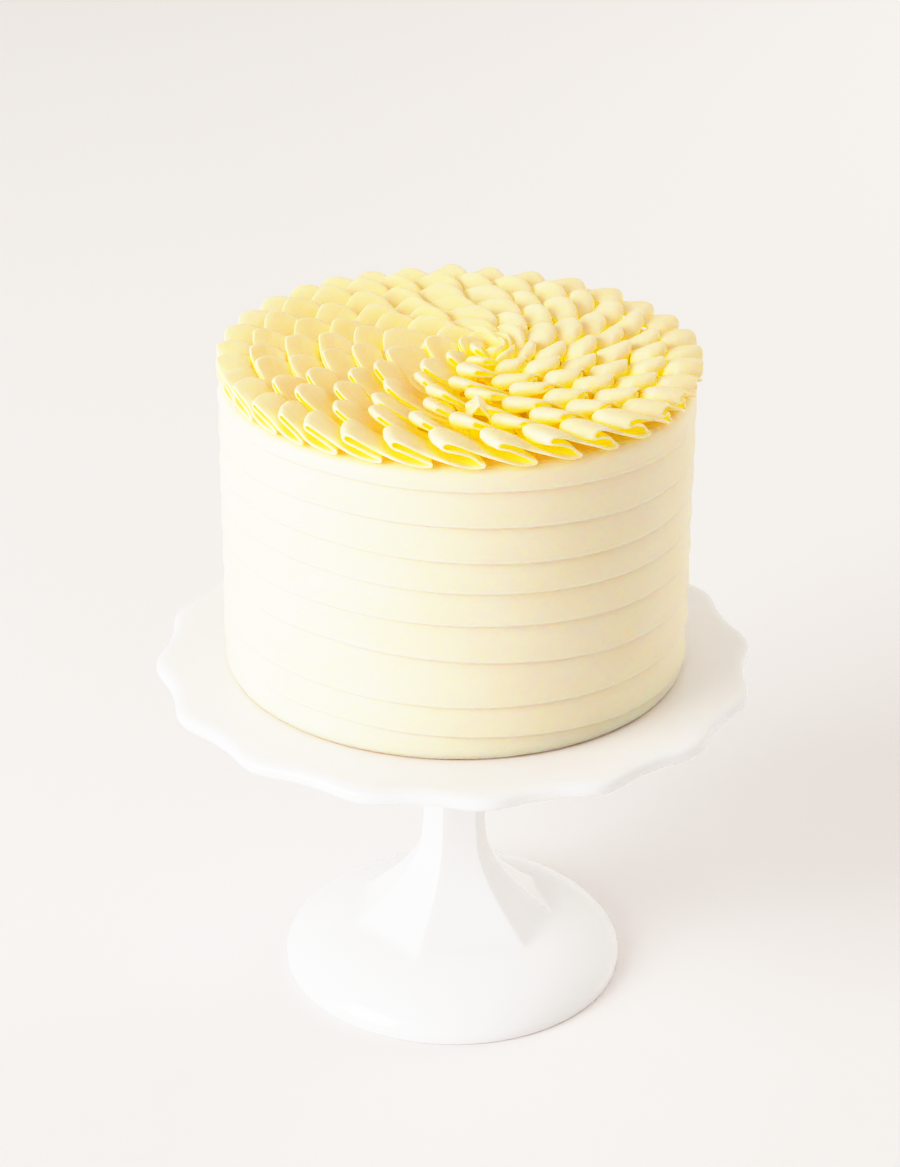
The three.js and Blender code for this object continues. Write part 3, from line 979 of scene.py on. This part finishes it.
        t = np.linspace(0, 1, self.samples[1], endpoint=False)
        share = t * end
        tail_top = low + 2 * c * np.cos(tail)
        start_gap = 2 * half * np.cos(slope)
        end_gap = self.upper_height(fold, end, v) - tail_top
        tight = np.minimum(keep * self.thickness / np.cos(slope), np.maximum(start_gap, end_gap) + 0.4)
        gap = start_gap + (tight - start_gap) * smooth_step(t, 0, self.closing)
        gap = gap + (end_gap - tight) * smooth_step(t, self.closing, 1)
        lower_z = self.upper_height(fold, share, v) - gap
        lower_x = leg_offset(nose, -half * np.sin(slope), share) * (1 - t**3) + c * np.sin(tail) * t**3

        psi = np.linspace(0, math.pi, self.samples[2], endpoint=False)
        tail_x = c * np.cos(psi) * np.sin(tail) + long * np.sin(psi) * np.cos(tail) + 0 * bend_z[..., :1]
        tail_z = low + c * np.cos(tail) * (1 + np.cos(psi)) - long * np.sin(psi) * np.sin(tail)

        _, half_before, nose_before, _, slope_before = self.bend(fold - 1, v)
        t_up = np.linspace(0, 1, self.samples[3], endpoint=False) ** 0.85
        back = 1 - t_up
        upper_z = self.upper_height(fold - 1, back, v)
        upper_x = leg_offset(nose_before, half_before * np.sin(slope_before), back) * (1 - back**3)
        upper_x = upper_x - c * np.sin(tail) * back**3

        places = (fold + 0 * phi, fold + reach * t, fold + reach + 0 * psi, fold + reach - (1 + reach) * t_up)
        offsets = (bend_x, lower_x, tail_x, upper_x)
        heights = (bend_z, lower_z, tail_z, upper_z)
        walls = (wall, *(np.full(len(part), self.thickness) for part in (t, psi, t_up)))

        def joined(parts: tuple[Array, ...]) -> Array:
            """Sets the four parts of every fold one after another along the ring."""
            full = [np.broadcast_to(p, (*shape, p.shape[-1])) for p in parts]
            return np.concatenate(full, axis=2).reshape(len(across), -1)

        place = joined(places)
        lag = self.shape(place, "lag") * across[:, None]
        length = self.angle(place) * radius[:, :, 0] + joined(offsets) - lag
        return length, joined(heights), joined(walls), place

    def build(self, finish: Material) -> list[Object]:
        """Thickens the middle surface along its own normals and closes it round both edges.

        Args:
            finish: The piped icing.

        Returns:
            The piece, in a list.
        """
        across, full = self.across()
        length, z, wall, place = self.midline(across)
        radius = self.radius(across)[:, None]
        turn = TAU * radius
        before = np.concatenate([length[:, -1:] + turn, length[:, :-1]], axis=1)
        after = np.concatenate([length[:, 1:], length[:, :1] - turn], axis=1)
        run, climb = after - before, np.roll(z, -1, axis=1) - np.roll(z, 1, axis=1)
        size = np.hypot(run, climb)
        half = wall / 2 * full[:, None]
        moved = np.subtract(self.inner_centre, self.outer_centre)
        centre = np.array(self.outer_centre) + np.outer(across, moved)
        outwards = (1 - across[:, None]) ** 2
        out = radius + self.edge_swell * outwards * np.cos(TAU * place)
        z = z - self.edge_droop * outwards**3 * (1 - np.cos(TAU * place)) / 2
        sides = []
        for sign in (1, -1):
            angle = (length + sign * half * climb / size) / radius
            x = centre[:, :1] + out * np.cos(angle)
            y = centre[:, 1:] + out * np.sin(angle)
            sides.append(np.stack([x, y, CAKE_TOP + RESTING_GAP + z - sign * half * run / size], axis=-1))
        loop = np.moveaxis(np.concatenate([sides[0], sides[1][-2:0:-1]], axis=0), 0, 1)
        points, faces = loop.reshape(-1, 3), grid_faces(loop.shape[0], loop.shape[1], close_rows=True)
        if self.stray:
            more, quads = self.stray.shell()
            faces += (np.array(quads) + len(points)).tolist()
            points = np.vstack([points, more])
        piece = mesh_piece(f"ruffles_{self.number}", points, faces, finish)
        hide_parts(f"ruffle_ring_{self.number}")
        return [piece]


@dataclass
class EdgeRing(RuffleRing):
    """The ring along the edge of the cake: low, wide and open, with its tails over the rim."""

    crest: Profile = ((0, 9.6), (0.2, 10.4), (0.6, 11.2), (0.85, 10.8), (1, 10.0))
    nose: Profile = ((0, -0.2), (0.3, 1.4), (0.6, 1.8), (1, 0.0))
    shapes: FoldShapes = FoldShapes(
        at=(-180, -130, -104, -79, -45, -10, 40, 90, 140),
        outer=(0.95, 1.0, 1.5, 1.3, 1.3, 1.6, 1.5, 1.2, 1.0),
        middle=(1.2, 1.2, 1.8, 2.2, 2.6, 2.8, 2.6, 1.8, 1.3),
        inner=(1.0, 1.0, 1.2, 1.4, 1.8, 2.0, 1.8, 1.1, 1.0),
        rise=(0.92, 0.95, 1.0, 1.0, 0.98, 0.92, 0.9, 0.98, 0.98),
        fall=(1.0, 1.0, 0.5, 0.5, 0.5, 1.0, 1.5, 3.0, 3.0),
        lag=(2, 3, 3, 3, 4, 4, 5, 6, 5),
        reach=(0.62, 0.62, 0.62, 0.62, 0.55, 0.4, 0.4, 0.55, 0.62),
        bend=(17, 17, 15, 8, -8, -20, -10, 18, 20),
        tail=(14, -4, -8, -8, -4, 4, 10, 20, 20),
    )
    tail_height: float = 0.85
    pinch: float = 2.4
    edge_droop: float = 1.0
    spacing_waves: Waves = ((2.96, 1, -48.8), (1.94, 2, -170), (1.76, 3, -123.4))


@dataclass
class CentreCurl:
    """The small curl that stands in the middle, where the piping ends."""

    radius: float = 2.6
    place: Pair = (11.8, 1.5)
    height: float = 10.0
    rows: int = 40
    columns: int = 64

    def build(self, finish: Material) -> list[Object]:
        """Builds a five-sided, slightly twisted dab whose tip is drawn to one side.

        The radius follows a rounded cone, times a five-fold wave that turns with the height.

        Args:
            finish: The piped icing.

        Returns:
            The piece, in a list.
        """
        share = np.linspace(0, 1, self.rows)[:, None]
        angle = (TAU * np.arange(self.columns) / self.columns)[None, :]
        outline = np.clip(1 - share**2.6, 0, 1) ** 0.6 * (0.92 + 0.08 * np.sin(math.pi * share))
        wave = 1 - 0.09 * (1 + np.cos(5 * (angle + 0.9 * share)))
        radius = self.radius * outline * wave
        low = CAKE_TOP + RESTING_GAP
        height = low + self.height * share
        x = self.place[0] + radius * np.cos(angle)
        y = self.place[1] + radius * np.sin(angle)
        grid = np.stack([x, y, np.broadcast_to(height, x.shape)], axis=-1)[:-1]
        points, faces = capped_grid(grid, [*self.place, low], [*self.place, low + self.height])
        piece = mesh_piece("centre_dab", points, faces, finish)
        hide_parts("centre_curl")
        return [piece]


@dataclass
class PipedTopping:
    """All the rings of ruffles, from the edge of the cake inwards, and the curl in the middle."""

    outer_radii: Values = (88.2, 75.2, 62.4, 50.2, 38.6, 27.6, 16, 8.4)
    folds: tuple[int, ...] = (34, 29, 22, 17, 13, 9, 7, 5)
    first_bends: Values = (-79.3, -62.5, -50, -35, -28, -40, -20, -30)
    centres: Profile = ((0.6, 0), *((0, 0),) * 5, (4.4, 1), (9, 1.3))
    drop: StandingLoop = StandingLoop(
        place=(7.9, -63.2), facing=-86, width=9.0, height=13.9, depth=10, thickness=1.1, lean=-0.6
    )
    ribbon_end: StandingLoop = StandingLoop(
        place=(-11.4, -1.5), facing=-90, width=5.6, height=12.4, depth=5, thickness=2.2, lean=0.4
    )
    curl: CentreCurl = field(default_factory=CentreCurl)

    def ring(self, k: int) -> RuffleRing:
        """One of the rings.

        Args:
            k: The ring's index, from 0 at the edge of the cake.

        Returns:
            The ring.
        """
        edges = (*self.outer_radii, self.curl.radius)
        centres = (*self.centres, self.curl.place)
        kind = RuffleRing if k else EdgeRing
        return kind(
            number=k + 1,
            outer=edges[k],
            inner=edges[k + 1] + RESTING_GAP,
            folds=self.folds[k],
            first_bend=self.first_bends[k],
            outer_centre=centres[k],
            inner_centre=centres[k + 1],
            stray={3: self.drop, 6: self.ribbon_end}.get(k + 1),
        )

    def build(self, finish: Material) -> list[Object]:
        """Builds every ring and the curl.

        Args:
            finish: The piped icing.

        Returns:
            All the pieces.
        """
        made: list[Object] = []
        for k in range(len(self.outer_radii)):
            made += self.ring(k).build(finish)
        return made + self.curl.build(finish)


# The studio


@dataclass
class Studio:
    """The camera at the photograph's angle, a seamless paper floor and soft daylight from the left."""

    lens: float = 89.01
    camera_place: tuple[float, float, float] = (-2.232, -982.35, 646.24)
    pitch_down: float = 26.114
    roll: float = 0.5028
    floor_metres: float = 9.0
    tone_curve: Profile = (
        *((0, 0), (0.1, 0.018), (0.3, 0.135), (0.5, 0.325), (0.7, 0.6)),
        *((0.8, 0.735), (0.9, 0.85), (1.0, 0.925), (1.2, 0.975), (2.0, 1.0)),
    )

    def camera(self) -> None:
        """Makes the camera and sets it for the scene."""
        data = bpy.data.cameras.new("camera")
        data.sensor_width, data.lens = 36.0, self.lens
        data.clip_start, data.clip_end = 0.05, 50.0
        eye = add_object("camera", data)
        turned = Matrix.Rotation(math.radians(90 - self.pitch_down), 4, "X")
        turned = turned @ Matrix.Rotation(math.radians(self.roll), 4, "Z")
        eye.matrix_world = Matrix.Translation([c * METRES for c in self.camera_place]) @ turned
        bpy.context.scene.camera = eye

    def floor(self) -> None:
        """Lays the paper under the foot."""
        half = self.floor_metres / 2 / METRES
        corners = np.array([[-half, -half, 0], [half, -half, 0], [half, half, 0], [-half, half, 0]])
        paper = mesh_piece("paper_floor", corners, [[0, 1, 2, 3]], StudioPaper().material())

    def light(
        self, name: str, place: tuple[float, float, float], size: float, power: float, tint: str
    ) -> Object:
        """Adds a square soft light that faces the cake.

        Args:
            name: Its name.
            place: Where it hangs, in metres.
            size: The length of its side in metres.
            power: Its power in watts.
            tint: Its colour as an sRGB hex value.

        Returns:
            The light.
        """
        data = bpy.data.lights.new(name, "AREA")
        data.shape, data.size, data.energy = "SQUARE", size, power
        data.color = linear_colour(tint)[:3]
        lamp = add_object(name, data)
        lamp.location = place
        towards = np.array([0.0, 0.0, 0.16]) - np.array(place)
        yaw = math.atan2(towards[1], towards[0])
        drop = math.atan2(-towards[2], math.hypot(towards[0], towards[1]))
        turned = Matrix.Rotation(yaw, 3, "Z") @ Matrix.Rotation(drop - math.pi / 2, 3, "Y")
        lamp.rotation_euler = turned.to_euler()
        return lamp

    def lights(self) -> None:
        """Hangs the lights and sets the even light of the white room."""
        self.light("window", (-2.3, -1.5, 1.3), size=1.8, power=54.0, tint="#fcfdff")
        card = self.light("white_card", (1.6, 1.4, 0.8), size=1.4, power=12.5, tint="#fffaf0")
        card.visible_glossy = False
        world = bpy.data.worlds.new("white_room")
        world.use_nodes = True
        background = world.node_tree.nodes["Background"]
        background.inputs["Color"].default_value = linear_colour("#fffdfa")
        background.inputs["Strength"].default_value = 0.79
        bpy.context.scene.world = world

    def tone(self) -> None:
        """Sets the bright, crisp tones of a product photograph: a curve that deepens what is in shade and
        eases the lights into white, and enough bounces for light to find its way out of the folds."""
        scene = bpy.context.scene
        view = scene.view_settings
        view.view_transform, view.look = "Standard", "None"
        view.use_curve_mapping = True
        curves = view.curve_mapping
        start, *middle, (white, top) = self.tone_curve
        curves.white_level = (white, white, white)
        curve = curves.curves[3]
        for x, y in middle:
            curve.points.new(x / white, y)
        curve.points[0].location = start
        curve.points[-1].location = (1.0, top)
        curves.update()
        scene.cycles.max_bounces, scene.cycles.diffuse_bounces = 40, 32


def main() -> None:
    """Builds every sub-assembly in order and reports its pieces."""
    logging.basicConfig(level=logging.INFO, format="%(name)s: %(message)s")
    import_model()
    studio = Studio()
    studio.camera()
    studio.floor()
    studio.lights()
    studio.tone()
    dressed = [
        (CakeStand(), PressedMilkGlass()),
        (IcedCake(), SpreadButtercream()),
        (PipedTopping(), PipedButtercream()),
    ]
    for assembly, finish in dressed:
        for piece in assembly.build(finish.material()):
            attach(piece, "root")
            LOG.info("%s: %d faces", piece.name, len(piece.data.polygons))


if __name__ == "__main__":
    main()
